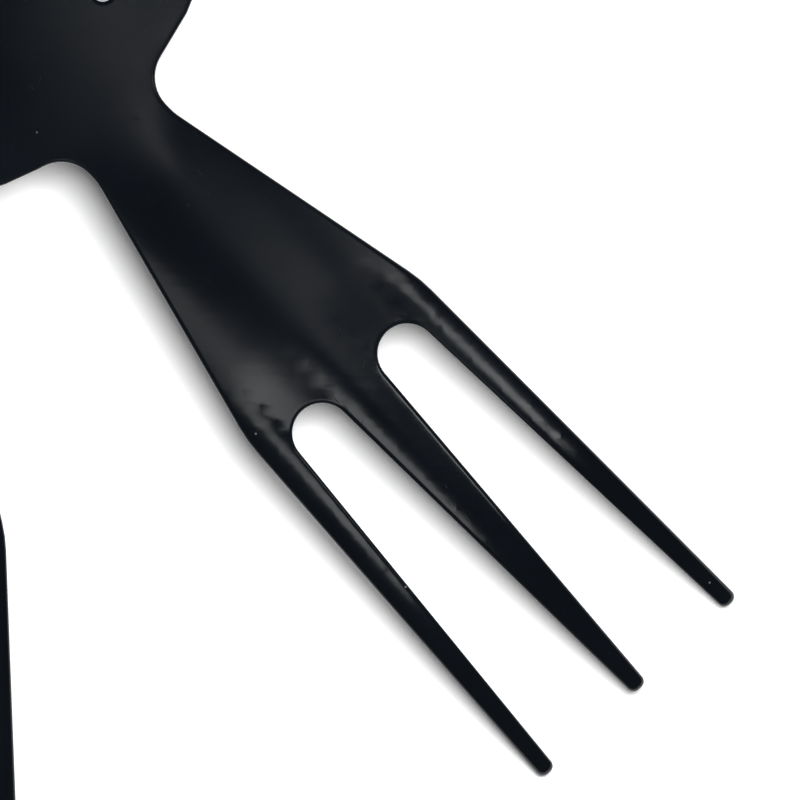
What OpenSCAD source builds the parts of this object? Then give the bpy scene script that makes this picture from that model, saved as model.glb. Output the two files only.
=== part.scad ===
// A pair of leaf grabber hands: two moulded claws, worn on the hands like paddles.
// Each claw is a domed palm disc with a heel wall and three forked fingers. A grip bridge is
// screwed to its back, and a webbing strap passes through the palm's side windows.
// The two hands stand side by side, palms down, fingers towards +Y.

/* [Fingers] */
// Angle between neighbouring fingers
finger_angle = 43; // [41:0.5:46]
// Distance from the palm's rim to the narrowest part of a finger
neck_len = 7.4; // [6.7:0.1:12]
// Width of a finger at its neck
neck_w = 20.7; // [18:0.1:23]
// Radius of the fillet between a neck and the palm
neck_fillet = 7.8; // [5:0.1:8]
// Width of a fork where its flare ends
fork_w = 47.6; // [44:0.1:50]
// Length of the flared part, from the neck
flare_len = 58; // [50:0.5:62]
// Length of a fork, from the neck to the tips
fork_len = 148.2; // [135:0.1:160]
// Width of a fork across its outer tips
tip_spread = 53.8; // [50:0.1:58]
// Width of a tine at its tip
tine_tip_w = 3.7; // [3.4:0.1:5]
// Rounding of a tine's tip
tip_round = 1.6; // [1.2:0.1:1.65]
// Width of the middle tine where its slots start
mid_tine_w = 11.9; // [10:0.1:13]
// Width of a slot at its closed end
slot_w = 11.3; // [10:0.1:12]
// Distance from the neck to the closed end of a slot
slot_start = 61.1; // [58:0.1:66]

/* [Palm] */
// Radius of the palm disc
palm_r = 65.8; // [64:0.1:67]
// Thickness of the moulded wall
wall = 3; // [2.6:0.1:3.4]
// Half width of the plate between the two side windows
window_chord = 41.3; // [40.5:0.1:42]
// Radius of a window's outer edge, from the palm's centre
window_r = 51.2; // [50.8:0.1:52.5]
// Rounding of a window's corners
window_round = 2.1; // [1.5:0.1:2.4]
// Where the heel wall's lower edge starts, behind the palm's centre
heel_foot = 18; // [10:1:26]
// Where the heel wall runs out, in front of the palm's centre
heel_start = 14; // [6:1:18]

/* [Curves] */
// Radius of the long curve over palm and fingers
dome_r = 850; // [780:10:1000]
// Radius of the arch across a finger
arch_r = 95; // [85:1:120]
// Distance from the neck to where the tines start to curl
curl_start = 102; // [95:1:110]
// Radius of the tines' curl
curl_r = 120; // [110:1:150]
// Height of a finger's crown over the palm's skin
crown = 0.25; // [0.2:0.05:0.4]

/* [Ribs] */
// Thickness of the ribs under the claw
rib_t = 2.2; // [1.8:0.1:2.6]
// Height of the ribs below the skin
rib_h = 4.5; // [3:0.1:5.5]
// Radius of the ring rib under the palm
ring_rib_r = 34; // [32:0.5:36]

/* [Grip] */
// Height of the grip's axis above the palm's centre
grip_z = 34; // [32:0.5:38]
// Radius of the grip's core
grip_core_r = 9; // [8:0.1:9.5]
// Radius of the soft sleeve at its swells
sleeve_r = 12.5; // [11.5:0.1:13]
// Depth of the finger grooves in the sleeve
groove_depth = 1.3; // [0.8:0.1:1.6]
// Distance from the palm's centre to the middle of a grip post
post_x = 36; // [35.5:0.1:36.5]
// Thickness of a grip post
post_t = 6; // [5:0.1:6.4]
// Length of a grip foot along the palm
foot_len = 50; // [46:0.5:52]
// Thickness of a grip foot
foot_t = 4; // [3.5:0.1:5]
// Middle of the grip behind the palm's centre
grip_back = 4; // [3:0.5:6]
// Distance between the two screws of a foot
screw_pitch = 40; // [38:0.5:42]
// Radius of a screw's shank
screw_r = 2; // [1.7:0.05:2.2]
// Length of a screw's shank
screw_len = 16; // [13:0.5:18]

/* [Strap] */
// Width of the webbing
strap_w = 26; // [22:0.5:26]
// Thickness of the webbing
strap_t = 1.8; // [1.4:0.1:1.8]
// Inner radius of the strap's arch
strap_r = 43.2; // [42.9:0.1:44.5]
// Height of the arch's centre above the palm's centre
arch_z = 34; // [30:0.5:38]
// Thickness of the padding on the strap
pad_t = 3.7; // [3:0.1:5]
// Width of the padding
pad_w = 38; // [30:0.5:42]
// Wall of the strap keeper
keeper_wall = 1.6; // [1.4:0.1:2]

/* [Pair] */
// Gap between the two hands
hand_gap = 24; // [10:1:60]

/* [Hidden] */
$fn = 72;

arc_step = 14;          // turn of one facet on a small rounding
palm_step = 6;          // turn of one facet on the palm's edge
first_step = 14;        // turn from a neck's corner to the first point of the palm's edge
neck_reach = palm_r + neck_len;
tip_t = neck_reach + fork_len;
curl_t = neck_reach + curl_start;
side_a = [-finger_angle, 0, finger_angle];
corner_a = asin(neck_w / 2 / palm_r);
slot_out = mid_tine_w / 2 + slot_w;

// The curl's axis lies on the radius of the long curve at the curl's start.
curl_a = asin(curl_t / dome_r);
curl_y = (dome_r - curl_r) * sin(curl_a);
curl_z = (dome_r - curl_r) * cos(curl_a) - dome_r;
tip_a = asin((tip_t - curl_y) / (curl_r + crown));

// Fall of an arch of radius r at distance x from its crown.
function fall(r, x) = r - sqrt(r * r - x * x);
function tip_z(s) =
    curl_z + sqrt(pow(curl_r + crown - fall(arch_r, s) - wall, 2) - pow(tip_t - curl_y, 2));
cup_depth = -tip_z(tip_spread / 2);   // palm crown to the floor
half_w = tip_t * sin(finger_angle) + tip_spread / 2 * cos(finger_angle);
hand_x = half_w + hand_gap / 2;
hand_y = -(tip_t - palm_r) / 2;

boss_r = 6;             // pads under the grip's feet, and bosses round the screw heads
boss_top = 1;           // height of the pads above the palm's crown
boss_low = -7.5;        // lower face of the bosses
head_r = 3.5;
head_h = 2.4;
recess_depth = 1.2;     // of the cross in a screw's head
play = 0.1;             // between a screw or sleeve and what it sits in
slide = 0.3;            // round the strap keeper, and between strap and pad
grip_top = grip_z + grip_core_r;
sleeve_l = 2 * (post_x - post_t / 2) - 1;
band_t = 20;            // depth of the solids that shape the skin
joint_lap = 3;          // a finger's solid reaches this far into the palm's
strap_low = -(wall + fall(dome_r, window_chord) + slide + strap_t);
lap_start = 12;
lap_end = 112;
pad_half_a = 43;
keeper_a = 32;          // place of the keeper on the arch, up from the side
keeper_span = 10;

// Points of an arc that rounds corner b, between neighbours a and c, with radius b[2].
function rounding(a, b, c) =
    let (
        p = [b[0], b[1]],
        u = ([a[0], a[1]] - p) / norm([a[0], a[1]] - p),
        w = ([c[0], c[1]] - p) / norm([c[0], c[1]] - p),
        half = acos(max(-1, min(1, u * w))) / 2
    )
    b[2] == 0 || half > 89.5 ? [p] :
    let (
        m = p + (u + w) / norm(u + w) * b[2] / sin(half),
        q = p + u * b[2] / tan(half) - m,
        turn = (180 - 2 * half) * sign(u[0] * w[1] - u[1] * w[0]) * -1,
        start = atan2(q[1], q[0]),
        n = max(2, ceil(abs(turn) / arc_step))
    )
    [for (i = [0:n]) m + b[2] * [cos(start + turn * i / n), sin(start + turn * i / n)]];

function rounded(c) =
    let (n = len(c))
    [for (i = [0:n - 1]) each rounding(c[(i + n - 1) % n], c[i], c[(i + 1) % n])];

function spun(p, a) = [p[0] * cos(a) - p[1] * sin(a), p[0] * sin(a) + p[1] * cos(a), p[2]];
function polar(r, a) = [-r * sin(a), r * cos(a), 0];

// Corners of one side of a finger, from the palm to the middle tine's tip: across, along, rounding.
slot_r = slot_w / (
    tan((90 - atan2(tip_spread / 2 - tine_tip_w - slot_out, fork_len - slot_start)) / 2)
    + tan((90 - atan2(mid_tine_w / 2 - tine_tip_w / 2, fork_len - slot_start)) / 2)) - 0.01;
finger_side = [
    [neck_w / 2, palm_r * cos(corner_a), neck_fillet],
    [neck_w / 2, neck_reach, 12],
    [fork_w / 2, neck_reach + flare_len, 30],
    [tip_spread / 2, tip_t, tip_round],
    [tip_spread / 2 - tine_tip_w, tip_t, tip_round],
    [slot_out, neck_reach + slot_start, slot_r],
    [mid_tine_w / 2, neck_reach + slot_start, slot_r],
    [tine_tip_w / 2, tip_t, tip_round]
];
finger_corners = concat(
    finger_side,
    [for (i = [len(finger_side) - 1:-1:0]) [-finger_side[i][0], finger_side[i][1], finger_side[i][2]]]);
web = polar(palm_r, finger_angle / 2);
back_from = finger_angle + corner_a + first_step;
claw_corners = concat(
    [for (p = finger_corners) spun(p, -finger_angle)],
    [[-web[0], web[1], palm_r]],
    finger_corners,
    [[web[0], web[1], palm_r]],
    [for (p = finger_corners) spun(p, finger_angle)],
    [for (i = [0:floor((360 - 2 * back_from) / palm_step)]) polar(palm_r,
        back_from + i * (360 - 2 * back_from) / floor((360 - 2 * back_from) / palm_step))]);

window_a = acos(window_chord / window_r);
window_span = (window_a - 13) / 3;      // turn between two points of a window's outer edge
window_corners = concat(
    [[window_chord, -window_r * sin(window_a), window_round]],
    [for (i = [-3:3]) window_r * [cos(i * window_span), sin(i * window_span), 0]],
    [[window_chord, window_r * sin(window_a), window_round]]);

module claw_outline() {
    difference() {
        polygon(rounded(claw_corners));
        for (side = [0, 1])
            mirror([side, 0]) polygon(rounded(window_corners));
    }
}

// The plan of one finger, from a distance behind its neck.
module finger_field(behind = 0) {
    translate([-30, neck_reach - behind]) square([60, fork_len + behind + 10]);
}

// A solid that follows the finger's curves, between two depths below its crown.
// Both stretches meet on the radius of the long curve where the curl starts.
module finger_band(top, low) {
    module profile(r) {
        intersection() {
            translate([r - arch_r, 0]) difference() {
                circle(r = arch_r + crown - top, $fn = 144);
                circle(r = arch_r + crown - low, $fn = 144);
            }
            translate([r - arch_r + 1, -32]) square([arch_r + 9, 64]);
        }
    }
    translate([0, 0, -dome_r]) rotate([0, -90, 0]) rotate([0, 0, curl_a]) {
        mirror([0, 1, 0]) rotate_extrude(angle = curl_a - 2, $fn = 144) profile(dome_r);
        translate([dome_r - curl_r, 0, 0])
            rotate_extrude(angle = tip_a + 6 - curl_a, $fn = 144) profile(curl_r);
    }
}

module palm_band(top, low) {
    translate([0, 0, -dome_r]) intersection() {
        difference() {
            sphere(r = dome_r - top);
            sphere(r = dome_r - low);
        }
        translate([0, 0, dome_r - band_t]) cylinder(r = neck_reach + 5, h = band_t + 10);
    }
}

module heel_wall() {
    difference() {
        translate([0, 0, -cup_depth]) cylinder(r = palm_r + 4, h = cup_depth - 5);
        translate([0, 0, -cup_depth - 1]) cylinder(r = palm_r - wall, h = cup_depth + 2);
        // The wall's lower edge climbs forwards to the palm's rim.
        translate([-palm_r - 10, 0, 0]) rotate([90, 0, 90])
            linear_extrude(2 * palm_r + 20)
                polygon([[-heel_foot, -cup_depth - 1], [-heel_foot, -cup_depth], [heel_start, -6],
                    [heel_start, 10], [palm_r + 20, 10], [palm_r + 20, -cup_depth - 1]]);
    }
}

module rib_plan() {
    difference() {
        circle(r = ring_rib_r + rib_t / 2);
        circle(r = ring_rib_r - rib_t / 2);
    }
    for (a = side_a)
        rotate(a) translate([-rib_t / 2, ring_rib_r]) square([rib_t, neck_reach - ring_rib_r + 1]);
}

module finger_rib_plan() {
    translate([-rib_t / 2, neck_reach]) square([rib_t, curl_start]);
    // Two more ribs spread from the neck to the outer tines.
    for (side = [-1, 1])
        polygon([
            [side * 2, neck_reach + 2], [side * (2 + rib_t), neck_reach + 2],
            [side * (slot_out + 4 + rib_t / 2), neck_reach + slot_start + 6],
            [side * (slot_out + 5 + rib_t / 2), curl_t], [side * (slot_out + 5 - rib_t / 2), curl_t],
            [side * (slot_out + 4 - rib_t / 2), neck_reach + slot_start + 6]]);
}

module claw() {
    difference() {
        union() {
            intersection() {
                translate([0, 0, -cup_depth - 5]) linear_extrude(cup_depth + 15)
                    difference() {
                        claw_outline();
                        for (a = side_a) rotate(a) finger_field();
                    }
                union() {
                    palm_band(0, wall);
                    heel_wall();
                }
            }
            for (a = side_a)
                intersection() {
                    translate([0, 0, -cup_depth - 5]) linear_extrude(cup_depth + 15)
                        intersection() {
                            claw_outline();
                            rotate(a) finger_field(joint_lap);
                        }
                    rotate(a) finger_band(0, wall);
                }
            intersection() {
                translate([0, 0, -band_t]) linear_extrude(band_t)
                    difference() {
                        rib_plan();
                        strap_channel();
                    }
                palm_band(wall / 2, wall + rib_h);
            }
            for (a = side_a)
                rotate(a) intersection() {
                    translate([0, 0, -cup_depth - 5]) linear_extrude(cup_depth + 5) finger_rib_plan();
                    finger_band(wall / 2, wall + rib_h);
                }
            at_screws() translate([0, 0, boss_low]) cylinder(r = boss_r, h = boss_top - boss_low);
        }
        at_screws() {
            translate([0, 0, boss_low - 1]) cylinder(r = screw_r + play, h = 20);
            translate([0, 0, boss_low - 1]) cylinder(r = head_r + 0.4, h = head_h + 1);
        }
    }
}

module strap_channel() {
    translate([-palm_r, -grip_back - strap_w / 2 - 1]) square([2 * palm_r, strap_w + 2]);
}

module at_screws() {
    for (x = [-post_x, post_x], y = [-1, 1])
        translate([x, -grip_back + y * screw_pitch / 2, 0]) children();
}

// Two feet with their posts, and the core bar between them, in one moulding.
module grip_bridge() {
    difference() {
        union() {
            for (side = [-1, 1])
                translate([side * post_x, -grip_back, 0]) {
                    translate([0, 0, boss_top]) linear_extrude(foot_t) foot_outline();
                    translate([-post_t / 2, 0, 0]) rotate([90, 0, 90]) linear_extrude(post_t) post_outline();
                }
            translate([-post_x, -grip_back, grip_z]) rotate([0, 90, 0]) cylinder(r = grip_core_r, h = 2 * post_x);
            at_screws() translate([0, 0, boss_top]) cylinder(r = 4.4, h = 11);
        }
        at_screws() translate([0, 0, boss_top - 1]) cylinder(r = screw_r + play, h = 10.5);
    }
}

module foot_outline() {
    translate([-4.4, -foot_len / 2 + 4.4]) square([8.8, foot_len - 8.8]);
    for (y = [-1, 1]) translate([0, y * (foot_len / 2 - 4.4)]) circle(r = 4.4);
}

module post_outline() {
    difference() {
        union() {
            translate([0, grip_z]) circle(r = grip_core_r + 3);
            polygon([
                [-foot_len / 2 + 8, boss_top + foot_t - 0.5], [foot_len / 2 - 8, boss_top + foot_t - 0.5],
                [grip_core_r + 2.8, grip_z - 2], [-grip_core_r - 2.8, grip_z - 2]]);
        }
        // A window lightens the post.
        translate([0, (boss_top + foot_t + grip_z - grip_core_r) / 2]) circle(r = 4.5);
    }
}

// The sleeve's outline has a shallow groove for each finger.
module grip_sleeve() {
    groove_w = (sleeve_l - 6) / 4;
    groove_r = (groove_depth * groove_depth + groove_w * groove_w / 4) / (2 * groove_depth);
    translate([-sleeve_l / 2, -grip_back, grip_z]) rotate([0, 90, 0])
        rotate_extrude()
            difference() {
                translate([grip_core_r + play, 0]) square([sleeve_r - grip_core_r - play, sleeve_l]);
                for (i = [0:3])
                    translate([sleeve_r - groove_depth + groove_r, 3 + groove_w * (i + 0.5)]) circle(r = groove_r);
            }
}

module grip_screws() {
    at_screws()
        translate([0, 0, boss_low]) {
            difference() {
                cylinder(r = head_r, h = head_h);
                translate([0, 0, -1]) linear_extrude(1 + recess_depth) cross();
            }
            translate([0, 0, head_h - 0.4]) cylinder(r = screw_r, h = screw_len - head_h + 0.4);
        }
}

module cross() {
    square([4, 0.8], center = true);
    square([0.8, 4], center = true);
}

// Inside of the strap's loop, grown by a distance.
module strap_loop(grow) {
    r = strap_r + grow;
    low = strap_low + strap_t - grow;
    corner = 2 + grow;
    translate([0, arch_z]) circle(r = r);
    translate([-r, low + corner]) square([2 * r, arch_z - low - corner]);
    translate([-r + corner, low]) square([2 * (r - corner), arch_z - low]);
    for (side = [-1, 1]) translate([side * (r - corner), low + corner]) circle(r = corner);
}

// Part of a ring round the arch's centre, between two radii and two angles from the +X side.
module arch_sector(inner, outer, from_a, to_a) {
    far = 2 * outer;
    mid = (from_a + to_a) / 2;
    translate([0, arch_z]) intersection() {
        difference() {
            circle(r = outer, $fn = 144);
            circle(r = inner, $fn = 144);
        }
        polygon([[0, 0], far * [cos(from_a), sin(from_a)], far * [cos(mid), sin(mid)],
            far * [cos(to_a), sin(to_a)]]);
    }
}

module across(width) {
    translate([0, -grip_back + width / 2, 0]) rotate([90, 0, 0]) linear_extrude(width) children();
}

module hand_strap() {
    across(strap_w) {
        difference() {
            strap_loop(strap_t);
            strap_loop(0);
        }
        arch_sector(strap_r + strap_t - 0.3, strap_r + 2 * strap_t, lap_start, lap_end);
    }
}

module strap_pad() {
    across(pad_w)
        arch_sector(strap_r - slide - pad_t, strap_r - slide, 90 - pad_half_a, 90 + pad_half_a);
}

// A closed frame round both layers of the webbing.
module strap_keeper() {
    low = strap_r - slide;
    high = strap_r + 2 * strap_t + slide;
    difference() {
        across(strap_w + 2 * slide + 2 * keeper_wall)
            arch_sector(low - keeper_wall, high + keeper_wall,
                keeper_a - keeper_span / 2, keeper_a + keeper_span / 2);
        across(strap_w + 2 * slide)
            arch_sector(low, high, keeper_a - keeper_span, keeper_a + keeper_span);
    }
}

module left() { translate([-hand_x, hand_y, cup_depth]) children(); }
module right() { translate([hand_x, hand_y, cup_depth]) mirror([1, 0, 0]) children(); }

module left_claw() { left() color([0.05, 0.05, 0.055]) claw(); }
module left_grip_bridge() { left() color([0.09, 0.09, 0.1]) grip_bridge(); }
module left_grip_sleeve() { left() color([0.16, 0.17, 0.18]) grip_sleeve(); }
module left_grip_screws() { left() color([0.7, 0.7, 0.72]) grip_screws(); }
module left_hand_strap() { left() color([0.12, 0.12, 0.13]) hand_strap(); }
module left_strap_pad() { left() color([0.2, 0.2, 0.22]) strap_pad(); }
module left_strap_keeper() { left() color([0.05, 0.05, 0.055]) strap_keeper(); }
module right_claw() { right() color([0.05, 0.05, 0.055]) claw(); }
module right_grip_bridge() { right() color([0.09, 0.09, 0.1]) grip_bridge(); }
module right_grip_sleeve() { right() color([0.16, 0.17, 0.18]) grip_sleeve(); }
module right_grip_screws() { right() color([0.7, 0.7, 0.72]) grip_screws(); }
module right_hand_strap() { right() color([0.12, 0.12, 0.13]) hand_strap(); }
module right_strap_pad() { right() color([0.2, 0.2, 0.22]) strap_pad(); }
module right_strap_keeper() { right() color([0.05, 0.05, 0.055]) strap_keeper(); }

left_claw();
left_grip_bridge();
left_grip_sleeve();
left_grip_screws();
left_hand_strap();
left_strap_pad();
left_strap_keeper();
right_claw();
right_grip_bridge();
right_grip_sleeve();
right_grip_screws();
right_hand_strap();
right_strap_pad();
right_strap_keeper();
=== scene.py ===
import math
import bmesh
import bpy
from mathutils import Matrix, Vector


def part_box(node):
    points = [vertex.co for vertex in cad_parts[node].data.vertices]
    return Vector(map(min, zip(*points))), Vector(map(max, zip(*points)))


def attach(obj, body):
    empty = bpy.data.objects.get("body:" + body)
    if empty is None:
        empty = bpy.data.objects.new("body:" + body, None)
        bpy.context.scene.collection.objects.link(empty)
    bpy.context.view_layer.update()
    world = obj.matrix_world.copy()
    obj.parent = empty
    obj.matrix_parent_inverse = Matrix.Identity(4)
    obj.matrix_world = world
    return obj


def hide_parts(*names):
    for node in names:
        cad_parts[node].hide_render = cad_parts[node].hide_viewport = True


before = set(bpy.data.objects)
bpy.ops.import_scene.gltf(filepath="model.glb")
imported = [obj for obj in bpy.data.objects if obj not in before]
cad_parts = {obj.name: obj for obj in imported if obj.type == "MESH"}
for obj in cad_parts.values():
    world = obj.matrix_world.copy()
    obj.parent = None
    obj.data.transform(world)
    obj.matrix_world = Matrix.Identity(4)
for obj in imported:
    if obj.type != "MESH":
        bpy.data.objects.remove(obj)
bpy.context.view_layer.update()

mm = 0.001

# Lengths are in millimetres. The origin is the crown of a palm, with +Y towards the fingers.
claw = {
    "fingerAngle": 43.0,
    "neckLength": 7.4,
    "neckWidth": 20.7,
    "neckFillet": 7.8,
    "forkWidth": 47.6,
    "flareLength": 58.0,
    "forkLength": 148.2,
    "tipSpread": 53.8,
    "tineTipWidth": 3.7,
    "tipRound": 1.6,
    "midTineWidth": 11.9,
    "slotWidth": 11.3,
    "slotStart": 61.1,
    "palmRadius": 65.8,
    "wall": 3.0,
    "windowChord": 41.3,
    "windowRadius": 51.2,
    "windowRound": 2.1,
    "heelFoot": 18.0,
    "heelStart": 14.0,
    "domeRadius": 850.0,
    "archRadius": 95.0,
    "curlStart": 102.0,
    "curlRadius": 120.0,
    "crown": 0.25,
    "tineCrown": 0.085,     # height of a tine's crown, as a share of half its width
    "crownFrom": 44.0,      # where the crowns start, from the neck
    "crownFade": 18.0,      # length of that fade
    "blendReach": 12.0,     # the palm's curve turns into the finger's over this far on each side of the neck
    "edgeRound": 0.65,      # rounding of the moulding's edges
    "heelRound": 2.6,       # rounding where the heel wall turns down
    "heelEase": 8.0,        # height over which that rounding comes in
    "insideFillet": 1.5,    # fillet between palm and heel wall
    "holdEdge": 0.35,       # flat strip that ends a rounding
    "ribWidth": 2.2,
    "ribHeight": 4.5,
    "ribRing": 34.0,        # radius of the ring ribs round the palm's middle
    "ringGap": 10.0,        # half the gap between the two ring ribs, at each side
    "ringLowGap": 18.0,
    "gridStep": 3.0,        # size of the cells that carry the curves
    "outlineStep": 3.0,
    "sliver": 0.01,         # points nearer than this are merged
    "padHeight": 1.0,       # of the flat pads under the grip's feet
    "bossRadius": 6.0,
    "bossLow": -7.5,
    "headRoom": 0.4,        # round a screw's head
}


def smoothStep(x):
    x = max(0.0, min(1.0, x))
    return x * x * (3 - 2 * x)


def mix(a, b, share):
    return a + (b - a) * share


def deselectAll():
    for thing in bpy.context.selected_objects:
        thing.select_set(False)


def pick(thing):
    deselectAll()
    thing.select_set(True)
    bpy.context.view_layer.objects.active = thing
    return thing


def meshObject(name, mesh):
    thing = bpy.data.objects.new(name, mesh)
    bpy.context.scene.collection.objects.link(thing)
    return pick(thing)


def applyModifier(thing, kind, **values):
    pick(thing)
    modifier = thing.modifiers.new(kind.lower(), kind)
    for key, value in values.items():
        setattr(modifier, key, value)
    bpy.ops.object.modifier_apply(modifier=modifier.name)
    return thing


def smooth(thing, degrees=None):
    pick(thing)
    if degrees is None:
        bpy.ops.object.shade_smooth()
    else:
        bpy.ops.object.shade_smooth_by_angle(angle=math.radians(degrees))


def boolean(thing, other, operation):
    applyModifier(thing, "BOOLEAN", object=other, operation=operation, solver="EXACT")
    bpy.data.objects.remove(other)
    return thing


def joined(name, things):
    deselectAll()
    for thing in things:
        thing.select_set(True)
    bpy.context.view_layer.objects.active = things[0]
    if len(things) > 1:
        bpy.ops.object.join()
    things[0].name = name
    things[0].data.name = name
    return things[0]


# The claw's curves

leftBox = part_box("left_claw")
palmMiddle = Vector((
    (leftBox[0].x + leftBox[1].x) / 2, leftBox[0].y + claw["palmRadius"] * mm,
    leftBox[1].z - claw["padHeight"] * mm))
groundZ = -palmMiddle.z / mm
neckReach = claw["palmRadius"] + claw["neckLength"]
tipT = neckReach + claw["forkLength"]
curlT = neckReach + claw["curlStart"]
curlAngle = math.asin(curlT / claw["domeRadius"])
curlY = (claw["domeRadius"] - claw["curlRadius"]) * math.sin(curlAngle)
curlZ = (claw["domeRadius"] - claw["curlRadius"]) * math.cos(curlAngle) - claw["domeRadius"]


def fingerFrame(x, y):
    angle = math.degrees(math.atan2(-x, y))
    turn = math.radians(max(-1, min(1, round(angle / claw["fingerAngle"]))) * claw["fingerAngle"])
    return x * math.cos(turn) + y * math.sin(turn), -x * math.sin(turn) + y * math.cos(turn)


def tineCrown(s, t):
    # Each tine is a little higher along its middle; the crowns run back into the fork and fade there.
    c = claw
    fade = smoothStep((t - neckReach - c["crownFrom"]) / c["crownFade"])
    if fade == 0:
        return 0.0
    run = max(0.0, (t - neckReach - c["slotStart"]) / (c["forkLength"] - c["slotStart"]))
    inner = mix(c["midTineWidth"] / 2 + c["slotWidth"], c["tipSpread"] / 2 - c["tineTipWidth"], run)
    outer = mix(c["forkWidth"], c["tipSpread"], run) / 2
    half = mix(c["midTineWidth"], c["tineTipWidth"], run) / 2
    middle = half * min(1.5, (s / half) ** 2)
    half = (outer - inner) / 2
    side = half * min(1.5, ((abs(s) - (inner + outer) / 2) / half) ** 2)
    return c["tineCrown"] * fade * min(middle, side)


def skinHeight(x, y, depth):
    dome = claw["domeRadius"]
    palmZ = math.sqrt((dome - depth) ** 2 - x * x - y * y) - dome
    s, t = fingerFrame(x, y)
    reach = claw["blendReach"]
    share = smoothStep((t - neckReach + reach) / (2 * reach))
    if share == 0 or y < 0:
        return palmZ
    arch = math.sqrt((claw["archRadius"] + claw["crown"] - depth) ** 2 - s * s) - claw["archRadius"]
    ring = dome + arch
    fingerZ = math.sqrt(ring * ring - t * t) - dome
    if math.atan2(t, fingerZ + dome) > curlAngle:
        ring = claw["curlRadius"] + arch
        fingerZ = curlZ + math.sqrt(ring * ring - (t - curlY) ** 2)
    # The underside stays plain.
    return mix(palmZ, fingerZ, share) - tineCrown(s, t) * max(0.0, 1 - depth / claw["wall"])


# Outlines: each point carries the direction that faces out of the moulding.

def roundCorner(before, corner, after, step):
    a, b, c = Vector(before[:2]), Vector(corner[:2]), Vector(after[:2])
    radius = corner[2]
    if radius == 0:
        return [(b, b.normalized())]
    u, w = (a - b).normalized(), (c - b).normalized()
    half = u.angle(w) / 2
    middle = b + (u + w).normalized() * radius / math.sin(half)
    start = b + u * radius / math.tan(half) - middle
    leftTurn = u.x * w.y - u.y * w.x < 0
    turn = (math.pi - 2 * half) * (1 if leftTurn else -1)
    count = max(2, math.ceil(abs(math.degrees(turn)) / step))
    first = math.atan2(start.y, start.x)
    points = []
    for i in range(count + 1):
        ray = Vector((math.cos(first + turn * i / count), math.sin(first + turn * i / count)))
        points.append((middle + ray * radius, ray if leftTurn else -ray))
    return points


def roundedLoop(corners, step=8, stretch=claw["outlineStep"]):
    count = len(corners)
    rounded = []
    for i in range(count):
        rounded += roundCorner(corners[i - 1], corners[i], corners[(i + 1) % count], step)
    loop = []
    for i, (point, out) in enumerate(rounded):
        loop.append((point, out))
        ahead, outAhead = rounded[(i + 1) % len(rounded)]
        parts = math.ceil((ahead - point).length / stretch)
        for j in range(1, parts):
            loop.append((point.lerp(ahead, j / parts), out.lerp(outAhead, j / parts).normalized()))
    return loop


def turned(corner, degrees):
    a = math.radians(degrees)
    return (corner[0] * math.cos(a) - corner[1] * math.sin(a),
            corner[0] * math.sin(a) + corner[1] * math.cos(a), corner[2])


def onPalm(degrees, radius=0.0):
    return turned((0.0, claw["palmRadius"], radius), degrees)


def clawLoop():
    c = claw
    cornerAngle = math.degrees(math.asin(c["neckWidth"] / 2 / c["palmRadius"]))
    slotOut = c["midTineWidth"] / 2 + c["slotWidth"]
    run = c["forkLength"] - c["slotStart"]
    outerLean = math.atan2(c["tipSpread"] / 2 - c["tineTipWidth"] - slotOut, run)
    innerLean = math.atan2((c["midTineWidth"] - c["tineTipWidth"]) / 2, run)
    slotRound = c["slotWidth"] / (
        math.tan((math.pi / 2 - outerLean) / 2) + math.tan((math.pi / 2 - innerLean) / 2)) - 0.01
    slotT = neckReach + c["slotStart"]
    side = [
        (c["neckWidth"] / 2, c["palmRadius"] * math.cos(math.radians(cornerAngle)), c["neckFillet"]),
        (c["neckWidth"] / 2, neckReach, 12.0),
        (c["forkWidth"] / 2, neckReach + c["flareLength"], 30.0),
        (c["tipSpread"] / 2, tipT, c["tipRound"]),
        (c["tipSpread"] / 2 - c["tineTipWidth"], tipT, c["tipRound"]),
        (slotOut, slotT, slotRound),
        (c["midTineWidth"] / 2, slotT, slotRound),
        (c["tineTipWidth"] / 2, tipT, c["tipRound"]),
    ]
    finger = side + [(-x, y, r) for x, y, r in reversed(side)]
    corners = []
    for i, angle in enumerate((-c["fingerAngle"], 0.0, c["fingerAngle"])):
        if i:
            corners.append(onPalm(angle - c["fingerAngle"] / 2, c["palmRadius"]))
        corners += [turned(corner, angle) for corner in finger]
    backFrom = c["fingerAngle"] + cornerAngle + 14
    steps = int((360 - 2 * backFrom) / 4)
    for i in range(steps + 1):
        corners.append(onPalm(backFrom + i * (360 - 2 * backFrom) / steps))
    return roundedLoop(corners)


def windowLoop(side):
    c = claw
    a = math.acos(c["windowChord"] / c["windowRadius"])
    high = c["windowRadius"] * math.sin(a)
    span = a - math.radians(13)
    corners = [(c["windowChord"], -high, c["windowRound"])]
    for i in range(-6, 7):
        corners.append((c["windowRadius"] * math.cos(span * i / 6),
                        c["windowRadius"] * math.sin(span * i / 6), 0.0))
    corners.append((c["windowChord"], high, c["windowRound"]))
    loop = [(point, -out) for point, out in roundedLoop(corners)]
    if side < 0:
        loop = [(Vector((-p.x, p.y)), Vector((-o.x, o.y))) for p, o in reversed(loop)]
    return loop


def ringLoop(middle, radius, count=40):
    # A round hole, with directions that face into it.
    loop = []
    for i in range(count):
        a = 2 * math.pi * i / count
        ray = Vector((math.cos(a), math.sin(a)))
        loop.append((Vector(middle) + ray * radius, -ray))
    return loop


# A flat moulding with rounded edges, from outlines. A rim row runs from the top face round to the bottom one.

def roundedRim(wall, round_, hold=0.35):
    rim = [(round_ + hold, 0.0, 0.0)]
    for i in range(6):
        a = math.radians(18 * i)
        rim.append((round_ * (1 - math.sin(a)), round_ * (1 - math.cos(a)), 0.0))
    for i in range(6):
        a = math.radians(18 * i)
        rim.append((round_ * (1 - math.cos(a)), wall - round_ * (1 - math.sin(a)), 0.0))
    rim.append((round_ + hold, wall, 0.0))
    return rim


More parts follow.
